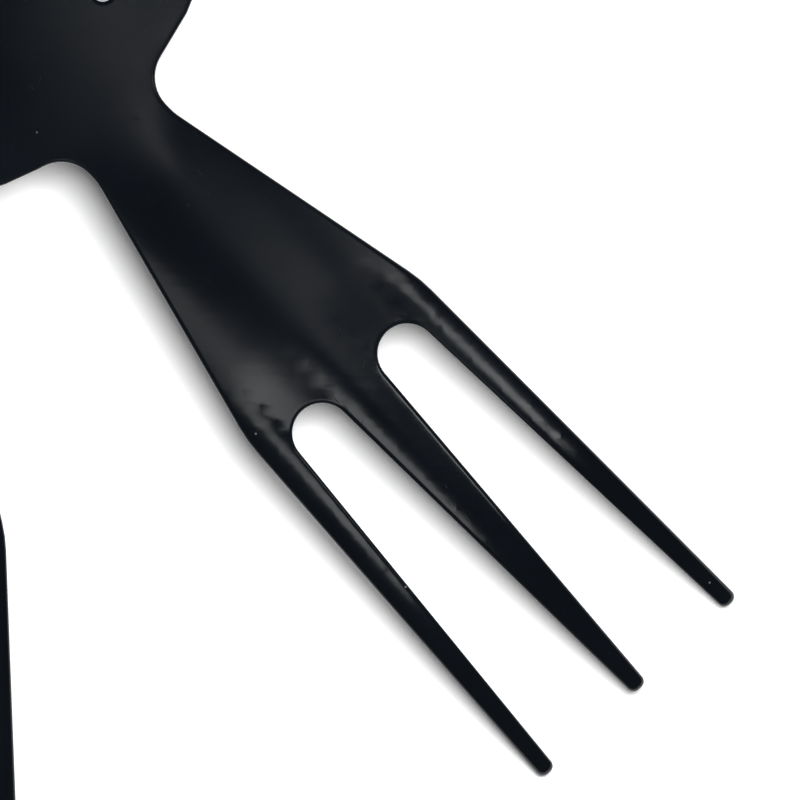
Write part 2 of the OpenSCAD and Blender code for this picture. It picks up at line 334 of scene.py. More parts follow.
def clawRim(point):
    # Where the heel wall hangs from the rim, its rows are stretched down and its inside gets rows of its own.
    c = claw
    wall, low, fillet = c["wall"], c["edgeRound"], c["insideFillet"]
    drop = smoothStep((c["heelStart"] - point.y) / (c["heelStart"] + c["heelFoot"]))
    share = smoothStep(drop * -groundZ / c["heelEase"])
    top = mix(c["edgeRound"], c["heelRound"], share)
    rim = [(top + c["holdEdge"], 0.0, 0.0)]
    for i in range(6):
        a = math.radians(18 * i)
        rim.append((top * (1 - math.sin(a)), top * (1 - math.cos(a)), 0.0))
    for i in range(6):
        a = math.radians(18 * i)
        rim.append((low * (1 - math.cos(a)), wall - low * (1 - math.sin(a)), drop))
    for i in range(5):
        a = math.radians(22.5 * i)
        rim.append((mix(low + 0.015 * (i + 1), wall - low + low * math.sin(a), share),
                    mix(wall, wall - low * (1 - math.cos(a)), share), drop))
    for i in range(4):
        a = math.radians(30 * i)
        rim.append((mix(low + 0.1 + 0.02 * i, wall + fillet * (1 - math.cos(a)), share),
                    mix(wall, wall + fillet * (1 - math.sin(a)), share), 0.0))
    rim.append((mix(low, wall + fillet, share) + c["holdEdge"], wall, 0.0))
    return rim


def mouldingMesh(loops, rimOf, gridStep=None):
    mesh = bmesh.new()
    dropLayer = mesh.verts.layers.float.new("drop")
    caps = ([], [])
    for loop in loops:
        rows = []
        for point, out in loop:
            row = []
            for inset, depth, drop in rimOf(point):
                spot = point - out * inset
                vert = mesh.verts.new((spot.x, spot.y, -depth))
                vert[dropLayer] = drop
                row.append(vert)
            rows.append(row)
        for i, row in enumerate(rows):
            ahead = rows[(i + 1) % len(rows)]
            for j in range(len(row) - 1):
                mesh.faces.new((row[j], row[j + 1], ahead[j + 1], ahead[j]))
        caps[0].append([row[0] for row in rows])
        caps[1].append([row[-1] for row in rows])
    capFaces = set()
    for rings in caps:
        edges = [mesh.edges.get((ring[i - 1], ring[i])) for ring in rings for i in range(len(ring))]
        made = bmesh.ops.triangle_fill(mesh, use_beauty=False, use_dissolve=False, edges=edges)
        capFaces |= {f for f in made["geom"] if isinstance(f, bmesh.types.BMFace)}
    if gridStep:
        gridCaps(mesh, capFaces, gridStep)
    bmesh.ops.recalc_face_normals(mesh, faces=mesh.faces)
    return mesh, dropLayer


def gridCaps(mesh, capFaces, step):
    for axis in (0, 1):
        low = min(v.co[axis] for f in capFaces for v in f.verts)
        high = max(v.co[axis] for f in capFaces for v in f.verts)
        spans = {f: (min(v.co[axis] for v in f.verts), max(v.co[axis] for v in f.verts)) for f in capFaces}
        spot = math.ceil(low / step) * step + 0.0137
        normal, place = [0.0, 0.0, 0.0], [0.0, 0.0, 0.0]
        normal[axis] = 1.0
        while spot < high:
            near = [f for f, (a, b) in spans.items() if a < spot < b]
            if near:
                parts = set(near) | {e for f in near for e in f.edges} | {v for f in near for v in f.verts}
                place[axis] = spot
                for f in near:
                    del spans[f]
                cut = bmesh.ops.bisect_plane(mesh, geom=list(parts), plane_co=place, plane_no=normal, dist=1e-5)
                for f in cut["geom"]:
                    if isinstance(f, bmesh.types.BMFace):
                        spans[f] = (min(v.co[axis] for v in f.verts), max(v.co[axis] for v in f.verts))
            spot += step
        capFaces.clear()
        capFaces |= set(spans)
    slanted = {e for f in capFaces for e in f.edges
               if len(e.link_faces) == 2 and all(link in capFaces for link in e.link_faces)
               and abs(e.verts[0].co.x - e.verts[1].co.x) > 1e-4 and abs(e.verts[0].co.y - e.verts[1].co.y) > 1e-4}
    bmesh.ops.dissolve_edges(mesh, edges=list(slanted), use_verts=False, use_face_split=False)


def finishMesh(name, mesh):
    data = bpy.data.meshes.new(name)
    mesh.to_mesh(data)
    mesh.free()
    return meshObject(name, data)


def loft(name, rings, closed=False, uvScale=1.0):
    # Skins rings of points. UV runs along the rings' middle and round each ring, in millimetres.
    mesh = bmesh.new()
    uv = mesh.loops.layers.uv.new("UVMap")
    rows = [[mesh.verts.new(p) for p in ring] for ring in rings]
    count, size = len(rows), len(rows[0])
    along = [0.0]
    for i in range(count):
        a, b = rings[i], rings[(i + 1) % count]
        along.append(along[-1] + (Vector(b[0]) - Vector(a[0])).length)
    around = [0.0]
    for j in range(size):
        around.append(around[-1] + (Vector(rings[0][(j + 1) % size]) - Vector(rings[0][j])).length)
    for i in range(count if closed else count - 1):
        k = (i + 1) % count
        for j in range(size):
            m = (j + 1) % size
            face = mesh.faces.new((rows[i][j], rows[i][m], rows[k][m], rows[k][j]))
            corners = ((along[i], around[j]), (along[i], around[j + 1]),
                       (along[i + 1], around[j + 1]), (along[i + 1], around[j]))
            for corner, spot in zip(face.loops, corners):
                corner[uv].uv = (spot[0] * uvScale, spot[1] * uvScale)
    if not closed:
        mesh.faces.new(rows[0])
        mesh.faces.new(rows[-1])
    bmesh.ops.recalc_face_normals(mesh, faces=mesh.faces)
    return finishMesh(name, mesh)


def roundedBox(width, height, round_, steps=3):
    # Section points of a rounded rectangle about the origin.
    points = []
    for cx, cy, start in ((1, 1, 0), (-1, 1, 90), (-1, -1, 180), (1, -1, 270)):
        for i in range(steps + 1):
            a = math.radians(start + 90 * i / steps)
            points.append((cx * (width / 2 - round_) + round_ * math.cos(a),
                           cy * (height / 2 - round_) + round_ * math.sin(a)))
    return points


# Claw

def ribShell(name, path, sides):
    # A rib hangs below the skin along a path; its lower edges are rounded.
    c = claw
    half, low, top = c["ribWidth"] / 2, c["wall"] + c["ribHeight"], c["wall"] - 1.2
    section = [(-half, top), (-half, low - 0.7), (-half + 0.2, low - 0.2), (-half + 0.7, low),
               (half - 0.7, low), (half - 0.2, low - 0.2), (half, low - 0.7), (half, top)]
    rings = []
    for point, side in zip(path, sides):
        ring = []
        for offset, depth in section:
            x, y = point[0] + side[0] * offset, point[1] + side[1] * offset
            ring.append((x, y, skinHeight(x, y, depth)))
        rings.append(ring)
    return loft(name, rings)


def straightRib(start, end, turn, step=4.0):
    a, b = Vector(turned((*start, 0), turn)[:2]), Vector(turned((*end, 0), turn)[:2])
    count = max(2, round((b - a).length / step))
    side = Vector(((b - a).y, -(b - a).x)).normalized()
    path = [a.lerp(b, i / count) for i in range(count + 1)]
    return ribShell("rib", path, [side] * len(path))


def ringRib(start, end, radius):
    count = 30
    angles = [math.radians(mix(start, end, i / count)) for i in range(count + 1)]
    rays = [Vector((math.cos(a), math.sin(a))) for a in angles]
    return ribShell("rib", [ray * radius for ray in rays], rays)


def cylinder(radius, low, high, x, y, sides=48):
    deselectAll()
    bpy.ops.mesh.primitive_cylinder_add(vertices=sides, radius=radius, depth=high - low,
                                        location=(x, y, (low + high) / 2))
    bpy.ops.object.transform_apply(location=True, rotation=False, scale=False)
    return bpy.context.object


def screwSpots():
    return [(x, -grip["back"] + y * grip["screwPitch"] / 2) for x in (-grip["postX"], grip["postX"])
            for y in (-1, 1)]


def buildClaw():
    c = claw
    flat, dropLayer = mouldingMesh([clawLoop(), windowLoop(1), windowLoop(-1)], clawRim,
                                   c["gridStep"] * (1))
    for vert in flat.verts:
        x, y, z = vert.co
        height = skinHeight(x, y, -z)
        vert.co.z = mix(height, groundZ + c["wall"] + z, vert[dropLayer])
    # The booleans stay closed only on flat faces without slivers.
    bmesh.ops.remove_doubles(flat, verts=flat.verts, dist=c["sliver"])
    bmesh.ops.dissolve_degenerate(flat, edges=flat.edges, dist=c["sliver"])
    bmesh.ops.triangulate(flat, faces=flat.faces)
    shell = finishMesh("leftClawShell", flat)
    print("claw skin:", len(shell.data.polygons), "faces")
    ribs = []
    gap = math.degrees(math.asin(c["ringGap"] / c["ribRing"]))
    lowGap = math.degrees(math.asin(c["ringLowGap"] / c["ribRing"]))
    ribs.append(ringRib(gap, 180 - gap, c["ribRing"]))
    ribs.append(ringRib(180 + lowGap, 360 - lowGap, c["ribRing"]))
    slotOut = c["midTineWidth"] / 2 + c["slotWidth"]
    slotT = neckReach + c["slotStart"]
    for i in (-1, 0, 1):
        turn = i * c["fingerAngle"]
        ribs.append(straightRib((0, c["ribRing"]), (0, curlT), turn))
        for side in (-1, 1):
            # One leg spreads from the neck to the outer tine, the other runs along the tine.
            bend = side * (slotOut + 4)
            ribs.append(straightRib((side * 3, neckReach + 2), (bend, slotT + 6), turn))
            ribs.append(straightRib((bend, slotT + 5.5), (side * (slotOut + 5), curlT), turn))
    for rib in ribs:
        applyModifier(rib, "TRIANGULATE")
        boolean(shell, rib, "UNION")
    for x, y in screwSpots():
        boss = cylinder(c["bossRadius"], c["bossLow"], c["padHeight"], x, y)
        applyModifier(boss, "BEVEL", width=0.4, segments=2, limit_method="ANGLE")
        boolean(shell, boss, "UNION")
        recess = cylinder(grip["headRadius"] + c["headRoom"], c["bossLow"] - 1, c["bossLow"] + grip["headHeight"], x, y)
        boolean(shell, recess, "DIFFERENCE")
    print("claw with ribs and bosses:", len(shell.data.polygons), "faces")
    return shell


# Grip bridge, sleeve and screws

grip = {
    "z": 34.0,
    "coreRadius": 9.0,
    "sleeveRadius": 12.5,
    "grooveDepth": 1.3,
    "postX": 36.0,
    "postThick": 6.0,
    "footLength": 50.0,
    "footThick": 4.0,
    "footHalf": 4.4,        # half of a foot's width, and the radius of its screw bosses
    "postInset": 8.0,       # from a foot's end to the post
    "holeRadius": 4.5,      # of the hole in a post
    "headWall": 3.0,        # of a post round the core
    "back": 4.0,
    "screwPitch": 40.0,
    "bossHeight": 11.0,
    "headRadius": 3.5,
    "headHeight": 2.4,
    "screwRadius": 2.0,
    "screwLength": 16.0,
    "recessDepth": 1.2,
    "recessLength": 4.0,
    "recessWidth": 0.8,
    "endRound": 1.6,        # rounding of the sleeve's ends
    "grooves": 4,
}


def buildBridge():
    g = grip
    base = claw["padHeight"]
    parts = []
    for side in (-1, 1):
        # A foot, with rounded ends
        half, reach = g["footHalf"], g["footLength"] / 2 - g["footHalf"]
        loop = []
        for start, middle in ((0, reach), (math.pi, -reach)):
            for i in range(21):
                a = start + math.pi * i / 20
                ray = Vector((math.cos(a), math.sin(a)))
                loop.append((Vector((half * ray.x, middle + half * ray.y)), ray))
        flat, _ = mouldingMesh([loop], lambda point: roundedRim(g["footThick"], 0.9))
        foot = finishMesh("foot", flat)
        foot.data.transform(Matrix.Translation((side * g["postX"], -g["back"], base + g["footThick"])))
        # A post, drawn in its own plane and turned to stand across the hand
        low, wide = base + g["footThick"] - 0.6, g["footLength"] / 2 - g["postInset"]
        head = g["coreRadius"] + g["headWall"]
        postLoop = roundedLoop([
            (-wide, low, 0.0), (wide, low, 0.0), (head + 0.4, g["z"] - 4, 10.0),
            (head, g["z"] + head, head - 0.1), (-head, g["z"] + head, head - 0.1),
            (-head - 0.4, g["z"] - 4, 10.0)], stretch=2.0)
        postLoop = withNormals([point for point, out in postLoop])
        hole = ringLoop((0, (base + g["footThick"] + g["z"] - g["coreRadius"]) / 2), g["holeRadius"])
        flat, _ = mouldingMesh([postLoop, hole], lambda point: roundedRim(g["postThick"], 1.0))
        post = finishMesh("post", flat)
        post.data.transform(Matrix(((0, 0, 1, side * g["postX"] + g["postThick"] / 2), (1, 0, 0, -g["back"]),
                                    (0, 1, 0, 0), (0, 0, 0, 1))))
        parts.append(boolean(post, foot, "UNION"))
    deselectAll()
    bpy.ops.mesh.primitive_cylinder_add(vertices=64, radius=g["coreRadius"], depth=2 * g["postX"] - 2,
                                        location=(0, -g["back"], g["z"]), rotation=(0, math.pi / 2, 0))
    bpy.ops.object.transform_apply(location=True, rotation=True, scale=False)
    bridge = boolean(parts[0], bpy.context.object, "UNION")
    bridge = boolean(bridge, parts[1], "UNION")
    for x, y in screwSpots():
        boss = cylinder(g["footHalf"], base + 0.2, base + g["bossHeight"], x, y)
        applyModifier(boss, "BEVEL", width=0.8, segments=3, limit_method="ANGLE")
        boolean(bridge, boss, "UNION")
    return bridge


def withNormals(points):
    # The outward direction at each point of a closed outline that runs to the left.
    loop = []
    for i, point in enumerate(points):
        before, after = points[i - 1], points[(i + 1) % len(points)]
        a, b = (point - before).normalized(), (after - point).normalized()
        along = (a + b).normalized()
        loop.append((point, Vector((along.y, -along.x))))
    return loop


def revolve(name, profile, middle, axis, count=96):
    # Turns a closed profile of (along, radius) points about an axis through the middle.
    rings = []
    for i in range(count):
        a = 2 * math.pi * i / count
        ring = []
        for along, radius in profile:
            u, v = radius * math.cos(a), radius * math.sin(a)
            ring.append((middle[0] + along, middle[1] + u, middle[2] + v) if axis == "x"
                        else (middle[0] + u, middle[1] + v, middle[2] + along))
        rings.append(ring)
    return loft(name, rings, closed=True)


def buildSleeve():
    g = grip
    length = 2 * (g["postX"] - g["postThick"] / 2) - 1
    width = (length - 6) / g["grooves"]
    soft = g["endRound"]
    outer = []
    for i in range(61):
        x = -length / 2 + 3 + (length - 6) * i / 60
        phase = (x + length / 2 - 3) / width % 1.0
        groove = g["grooveDepth"] * (0.5 - 0.5 * math.cos(2 * math.pi * phase)) ** 0.8
        outer.append((x, g["sleeveRadius"] - groove))
    ends = []
    for i in range(7):
        a = math.radians(15 * i)
        ends.append((length / 2 - soft + soft * math.sin(a), g["sleeveRadius"] - soft + soft * math.cos(a)))
    profile = [(-x, r) for x, r in reversed(ends)] + outer + ends
    inner = g["coreRadius"] + 0.1
    profile += [(length / 2, inner + 0.5), (length / 2 - 0.5, inner),
                (-length / 2 + 0.5, inner), (-length / 2, inner + 0.5)]
    return revolve("sleeve", profile, (0, -g["back"], g["z"]), "x")


def buildScrews():
    g = grip
    low = claw["bossLow"]
    screws = []
    for x, y in screwSpots():
        profile = [(0.0, 0.02), (0.0, 2.4)]
        for i in range(7):
            a = math.radians(15 * i)
            profile.append((1.0 - 1.0 * math.cos(a), 2.4 + 1.1 * math.sin(a)))
        profile += [(g["headHeight"], g["headRadius"]), (g["headHeight"], g["screwRadius"]),
                    (g["screwLength"], g["screwRadius"]), (g["screwLength"], 0.02)]
        screw = revolve("screw", profile, (x, y, low), "z", 40)
        for turn in (0, math.pi / 2):
            deselectAll()
            bpy.ops.mesh.primitive_cube_add(size=1, location=(x, y, low))
            bar = bpy.context.object
            bar.scale = (g["recessLength"], g["recessWidth"], 2 * g["recessDepth"])
            bar.rotation_euler = (0, 0, turn)
            bpy.ops.object.transform_apply(location=True, rotation=True, scale=True)
            boolean(screw, bar, "DIFFERENCE")
        screws.append(screw)
    return joined("screws", screws)


# Hand strap, its pad and its keeper

strap = {
    "width": 26.0,
    "thick": 1.8,
    "radius": 43.2,
    "archZ": 34.0,
    "corner": 2.0,
    "slide": 0.3,
    "lapStart": 12.0,
    "lapEnd": 112.0,
    "padThick": 3.7,
    "padWidth": 38.0,
    "padHalfAngle": 43.0,
    "padEdge": 5.0,         # over which the pad thins to its bound edge
    "edgeDrop": 0.25,
    "channelOut": 6.5,      # of a sewn channel from the pad's middle
    "channelHalf": 0.9,
    "channelDepth": 0.42,
    "keeperWall": 1.6,
    "keeperAngle": 32.0,
    "keeperSpan": 10.0,
}


def onArch(radius, degrees, y=0.0):
    a = math.radians(degrees)
    return Vector((radius * math.cos(a), -grip["back"] + y, strap["archZ"] + radius * math.sin(a)))


def strapPath():
    # Points on the middle of the webbing and the direction away from the hand, once round the loop.
    s = strap
    mid = s["radius"] + s["thick"] / 2
    fall = claw["domeRadius"] - math.sqrt(claw["domeRadius"] ** 2 - claw["windowChord"] ** 2)
    low = -(claw["wall"] + fall + s["slide"] + s["thick"] / 2)
    bend = s["corner"] + s["thick"] / 2
    path = []
    for i in range(61):
        a = 180 * i / 60
        path.append((onArch(mid, a), onArch(1, a) - onArch(0, a)))
    for side in (-1, 1):
        run = []
        for i in range(1, 10):
            run.append((Vector((-mid, -grip["back"], mix(s["archZ"], low + bend, i / 10))), Vector((-1, 0, 0))))
        for i in range(9):
            a = math.radians(180 + 90 * i / 8)
            ray = Vector((math.cos(a), 0, math.sin(a)))
            run.append((Vector((-mid + bend, -grip["back"], low + bend)) + ray * bend, ray))
        for i in range(1, 10):
            run.append((Vector((mix(-mid + bend, 0, i / 10), -grip["back"], low)), Vector((0, 0, -1))))
        if side < 0:
            path += run
            path.append((Vector((0, -grip["back"], low)), Vector((0, 0, -1))))
        else:
            path += [(Vector((-p.x, p.y, p.z)), Vector((-n.x, n.y, n.z))) for p, n in reversed(run)]
    return path


def webbing(name, path, width, thick, closed=False, thin=None):
    rings = []
    for i, (point, out) in enumerate(path):
        share = thin(i / (len(path) - 1)) if thin else 1.0
        section = roundedBox(width, thick * share, min(0.7, thick * share * 0.45), 3)
        rings.append([point + Vector((0, y, 0)) + out * h for y, h in section])
    return loft(name, rings, closed=closed)


def buildStrap():
    s = strap
    loop = webbing("strapLoop", strapPath(), s["width"], s["thick"], closed=True)
    mid = s["radius"] + s["thick"] * 1.5
    path = []
    for i in range(51):
        a = mix(s["lapStart"], s["lapEnd"], i / 50)
        path.append((onArch(mid, a), onArch(1, a) - onArch(0, a)))
    lap = webbing("strapLap", path, s["width"] - 0.4, s["thick"],
                  thin=lambda x: mix(0.45, 1.0, smoothStep(min(x, 1 - x) * 25)))
    return joined("strap", [loop, lap])


def buildPad():
    s = strap
    outer = s["radius"] - s["slide"]
    rings = []
    stations, across = 90, 28
    for i in range(stations + 1):
        share = i / stations
        a = mix(90 - s["padHalfAngle"], 90 + s["padHalfAngle"], share)
        toEnd = min(share, 1 - share) * 2 * math.radians(s["padHalfAngle"]) * outer
        ring = []
        thickEnd = smoothStep(toEnd / s["padEdge"])
        for j in range(2 * across):
            upper = j <= across
            k = j if upper else 2 * across - j
            y = -s["padWidth"] / 2 + s["padWidth"] * k / across
            # Full in the middle, drawn in at the bound edge and at two sewn channels
            edge = smoothStep((s["padWidth"] / 2 - abs(y)) / s["padEdge"])
            channel = 1 - s["channelDepth"] * math.exp(-((abs(y) - s["channelOut"]) / s["channelHalf"]) ** 2)
            full = mix(0.5, 1.0, min(edge, thickEnd)) * channel
            gather = 1 + 0.025 * math.sin(a * 2.1 + (0.8 if y > 0 else 0)) * min(edge, thickEnd)
            low = outer - s["padThick"] * min(1.0, full * gather)
            high = outer if edge > 0.99 else outer - s["edgeDrop"] * (1 - edge)
            ring.append(onArch(high if upper else low, a, y))
        rings.append(ring)
    return loft("pad", rings)


def buildKeeper():
    s = strap
    inner = s["radius"] - s["slide"]
    outer = s["radius"] + 2 * s["thick"] + s["slide"]
    width = s["width"] + 2 * s["slide"] + s["keeperWall"]
    height = outer - inner + s["keeperWall"]
    middle = (inner + outer) / 2
    outline = roundedBox(width, height, 1.6, 5)
    points = [Vector(p) for p in outline]
    filled = []
    for i, point in enumerate(points):
        ahead = points[(i + 1) % len(points)]
        filled.append(point)
        parts = math.ceil((ahead - point).length / 3)
        filled += [point.lerp(ahead, j / parts) for j in range(1, parts)]
    arc = math.radians(s["keeperSpan"]) * middle
    rings = []
    for point, out in withNormals(filled):
        ring = []
        for along, off in roundedBox(arc, s["keeperWall"], 0.6, 3):
            spot = point + out * off
            a = s["keeperAngle"] + math.degrees(along / middle)
            ring.append(onArch(middle + spot.y, a, spot.x))
        rings.append(ring)
    return loft("keeper", rings, closed=True)


# Materials

def newGroup(name, inputs, outputs):
    tree = bpy.data.node_groups.new(name, "ShaderNodeTree")
    for label, kind, value in inputs:
        socket = tree.interface.new_socket(label, in_out="INPUT", socket_type=kind)
        if value is not None:
            socket.default_value = value
    for label, kind in outputs:
        tree.interface.new_socket(label, in_out="OUTPUT", socket_type=kind)
    return tree, tree.nodes.new("NodeGroupInput"), tree.nodes.new("NodeGroupOutput")


def node(tree, kind, **values):
    made = tree.nodes.new("ShaderNode" + kind)
    for key, value in values.items():
        if hasattr(made, key):
            setattr(made, key, value)
        else:
            made.inputs[key].default_value = value
    return made


def link(tree, a, b):
    tree.links.new(a, b)


def math2(tree, operation, a, b=None, clamp=False):
    made = node(tree, "Math", operation=operation, use_clamp=clamp)
    for i, value in enumerate((a, b)):
        if value is None:
            continue
        if isinstance(value, (int, float)):
            made.inputs[i].default_value = value
        else:
            link(tree, value, made.inputs[i])
    return made.outputs[0]


def ramp(tree, value, low, high, a=0.0, b=1.0):
    made = node(tree, "MapRange", interpolation_type="SMOOTHSTEP")
    made.inputs["From Min"].default_value = low
    made.inputs["From Max"].default_value = high
    made.inputs["To Min"].default_value = a
    made.inputs["To Max"].default_value = b
    link(tree, value, made.inputs["Value"])
    return made.outputs["Result"]


def mixColour(tree, share, a, b):
    made = node(tree, "Mix", data_type="RGBA")
    for value, socket in ((share, made.inputs[0]), (a, made.inputs[6]), (b, made.inputs[7])):
        if isinstance(value, (int, float)):
            socket.default_value = value
        elif isinstance(value, tuple):
            socket.default_value = (*value, 1.0)
        else:
            link(tree, value, socket)
    return made.outputs[2]


def scratchGroup():
    # Hair-fine scratches in two directions, as a mask.
    tree, start, end = newGroup("fineScratches", [
        ("Vector", "NodeSocketVector", None), ("Amount", "NodeSocketFloat", 0.5)], [("Mask", "NodeSocketFloat")])
    masks = []
    for turn, stretch in ((1.35, 150.0), (2.2, 190.0)):
        mapping = node(tree, "Mapping", vector_type="TEXTURE")
        mapping.inputs["Rotation"].default_value = (0, 0, turn)
        mapping.inputs["Scale"].default_value = (1 / stretch, 1 / 2600, 1 / stretch)
        link(tree, start.outputs["Vector"], mapping.inputs["Vector"])
        noise = node(tree, "TexNoise", Scale=1.0, Detail=1.0)
        link(tree, mapping.outputs[0], noise.inputs["Vector"])
        patch = node(tree, "TexNoise", Scale=60.0 + 10 * turn, Detail=1.0)
        link(tree, start.outputs["Vector"], patch.inputs["Vector"])
        line = ramp(tree, noise.outputs[0], 0.72, 0.80)
        masks.append(math2(tree, "MULTIPLY", line, ramp(tree, patch.outputs[0], 0.56, 0.68)))
    both = math2(tree, "MAXIMUM", masks[0], masks[1])
    link(tree, math2(tree, "MULTIPLY", both, start.outputs["Amount"]), end.inputs["Mask"])
    return tree


def dustGroup():
    # Sparse specks, each a fraction of a millimetre.
    tree, start, end = newGroup("dustSpecks", [
        ("Vector", "NodeSocketVector", None), ("Scale", "NodeSocketFloat", 160.0), ("Size", "NodeSocketFloat", 0.06),
        ("Share", "NodeSocketFloat", 0.2)], [("Mask", "NodeSocketFloat")])
    cells = node(tree, "TexVoronoi", feature="F1", Randomness=1.0)
    link(tree, start.outputs["Vector"], cells.inputs["Vector"])
    link(tree, start.outputs["Scale"], cells.inputs["Scale"])
    spot = math2(tree, "LESS_THAN", cells.outputs["Distance"], start.outputs["Size"])
    split = node(tree, "SeparateColor")
    link(tree, cells.outputs["Color"], split.inputs[0])
    rare = math2(tree, "LESS_THAN", split.outputs[0], start.outputs["Share"])
    link(tree, math2(tree, "MULTIPLY", spot, rare), end.inputs["Mask"])
    return tree


def weaveGroup():
    # Plain weave from UV in millimetres: height of the threads, and which way the upper one runs.
    tree, start, end = newGroup("weave", [
        ("Vector", "NodeSocketVector", None), ("Along", "NodeSocketFloat", 1.0), ("Across", "NodeSocketFloat", 1.0)],
        [("Height", "NodeSocketFloat"), ("Over", "NodeSocketFloat")])
    split = node(tree, "SeparateXYZ")
    link(tree, start.outputs["Vector"], split.inputs[0])
    u = math2(tree, "MULTIPLY", split.outputs[0], start.outputs["Along"])
    v = math2(tree, "MULTIPLY", split.outputs[1], start.outputs["Across"])
    su = math2(tree, "SINE", math2(tree, "MULTIPLY", u, math.pi))
    sv = math2(tree, "SINE", math2(tree, "MULTIPLY", v, math.pi))
    product = math2(tree, "MULTIPLY", su, sv)
    over = math2(tree, "GREATER_THAN", product, 0.0)
    au, av = math2(tree, "ABSOLUTE", su), math2(tree, "ABSOLUTE", sv)
    threads = math2(tree, "MULTIPLY", math2(tree, "SQRT", au), math2(tree, "SQRT", av))
    link(tree, threads, end.inputs["Height"])
    link(tree, over, end.inputs["Over"])
    return tree


groups = {"scratches": scratchGroup(), "dust": dustGroup(), "weave": weaveGroup()}


def useGroup(tree, name, vector, **values):
    made = tree.nodes.new("ShaderNodeGroup")
    made.node_tree = groups[name]
    link(tree, vector, made.inputs["Vector"])
    for key, value in values.items():
        made.inputs[key].default_value = value
    return made


def newMaterial(name, roughness=0.5, metallic=0.0, **sockets):
    material = bpy.data.materials.new(name)
    material.use_nodes = True
    tree = material.node_tree
    shader = tree.nodes["Principled BSDF"]
    shader.inputs["Roughness"].default_value = roughness
    shader.inputs["Metallic"].default_value = metallic
    for key, value in sockets.items():
        shader.inputs[key].default_value = value
    return material, tree, shader, node(tree, "TexCoord")


def bump(tree, shader, height, strength, distance, before=None):
    made = node(tree, "Bump", Strength=strength, Distance=distance)
    link(tree, height, made.inputs["Height"])
    if before is not None:
        link(tree, before, made.inputs["Normal"])
    link(tree, made.outputs[0], shader.inputs["Normal"])
    return made.outputs[0]


clawLook = {
    "colour": (0.0024, 0.0040, 0.0066),
    "worn": (0.03, 0.032, 0.035),
    "roughness": 0.15,
}


def clawPlastic():
    look = clawLook
    material, tree, shader, coord = newMaterial("clawPlastic", look["roughness"])
    place = coord.outputs["Object"]
    scratches = useGroup(tree, "scratches", place, Amount=0.8)
    dust = useGroup(tree, "dust", place, Scale=230.0, Size=0.055, Share=0.10)
    cloud = node(tree, "TexNoise", Scale=28.0, Detail=3.0)
    link(tree, place, cloud.inputs["Vector"])
    fine = node(tree, "TexNoise", Scale=900.0, Detail=2.0)
    link(tree, place, fine.inputs["Vector"])
    colour = mixColour(tree, ramp(tree, cloud.outputs[0], 0.35, 0.7),
                       look["colour"], tuple(v * 1.25 for v in look["colour"]))
    colour = mixColour(tree, math2(tree, "MULTIPLY", scratches.outputs[0], 0.35), colour, look["worn"])
    colour = mixColour(tree, math2(tree, "MULTIPLY", dust.outputs[0], 0.8), colour, (0.2, 0.2, 0.2))
    link(tree, colour, shader.inputs["Base Color"])
    rough = ramp(tree, cloud.outputs[0], 0.3, 0.75, look["roughness"] - 0.03, look["roughness"] + 0.05)
    rough = math2(tree, "ADD", rough, math2(tree, "MULTIPLY", scratches.outputs[0], 0.2))
    rough = math2(tree, "ADD", rough, math2(tree, "MULTIPLY", dust.outputs[0], 0.5), clamp=True)
    link(tree, rough, shader.inputs["Roughness"])
    wave = node(tree, "TexNoise", Scale=14.0, Detail=1.0)
    link(tree, place, wave.inputs["Vector"])
    normal = bump(tree, shader, wave.outputs[0], 0.16, 0.0012)
    normal = bump(tree, shader, fine.outputs[0], 0.05, 0.00003, normal)
    bump(tree, shader, math2(tree, "SUBTRACT", 1.0, scratches.outputs[0]), 0.25, 0.00002, normal)
    return material


def grainPlastic(name, colour, roughness, grain=2600.0, depth=0.00006):
    material, tree, shader, coord = newMaterial(name, roughness)
    place = coord.outputs["Object"]
    cells = node(tree, "TexVoronoi", feature="SMOOTH_F1", Scale=grain)
    link(tree, place, cells.inputs["Vector"])
    cloud = node(tree, "TexNoise", Scale=60.0, Detail=4.0)
    link(tree, place, cloud.inputs["Vector"])
    scratches = useGroup(tree, "scratches", place, Amount=0.6)
    rubbed = ramp(tree, cloud.outputs[0], 0.4, 0.75)
    base = mixColour(tree, rubbed, colour, tuple(v * 1.35 for v in colour))
    base = mixColour(tree, math2(tree, "MULTIPLY", scratches.outputs[0], 0.4), base, tuple(v * 3 for v in colour))
    link(tree, base, shader.inputs["Base Color"])
    link(tree, ramp(tree, cloud.outputs[0], 0.3, 0.8, roughness + 0.05, roughness - 0.08), shader.inputs["Roughness"])
    bump(tree, shader, cells.outputs["Distance"], 0.5, depth)
    return material


def sleeveRubber():
    material, tree, shader, coord = newMaterial("sleeveRubber", 0.72)
    place = coord.outputs["Object"]
    cells = node(tree, "TexVoronoi", feature="DISTANCE_TO_EDGE", Scale=850.0)
    link(tree, place, cells.inputs["Vector"])
    cloud = node(tree, "TexNoise", Scale=90.0, Detail=5.0)
    link(tree, place, cloud.inputs["Vector"])
    pore = ramp(tree, cells.outputs["Distance"], 0.0, 0.12)
    colour = mixColour(tree, ramp(tree, cloud.outputs[0], 0.35, 0.7), (0.028, 0.030, 0.032), (0.05, 0.052, 0.055))
    # Painted shade: the colour darkens along the pores' sunken edges, where the bump goes down.
    hollowShade = math2(tree, "MULTIPLY", math2(tree, "SUBTRACT", 1.0, pore), 0.6)
    colour = mixColour(tree, hollowShade, colour, (0.012, 0.012, 0.013))
    link(tree, colour, shader.inputs["Base Color"])
    link(tree, ramp(tree, cloud.outputs[0], 0.3, 0.75, 0.8, 0.62), shader.inputs["Roughness"])
    bump(tree, shader, pore, 0.4, 0.00025)
    return material


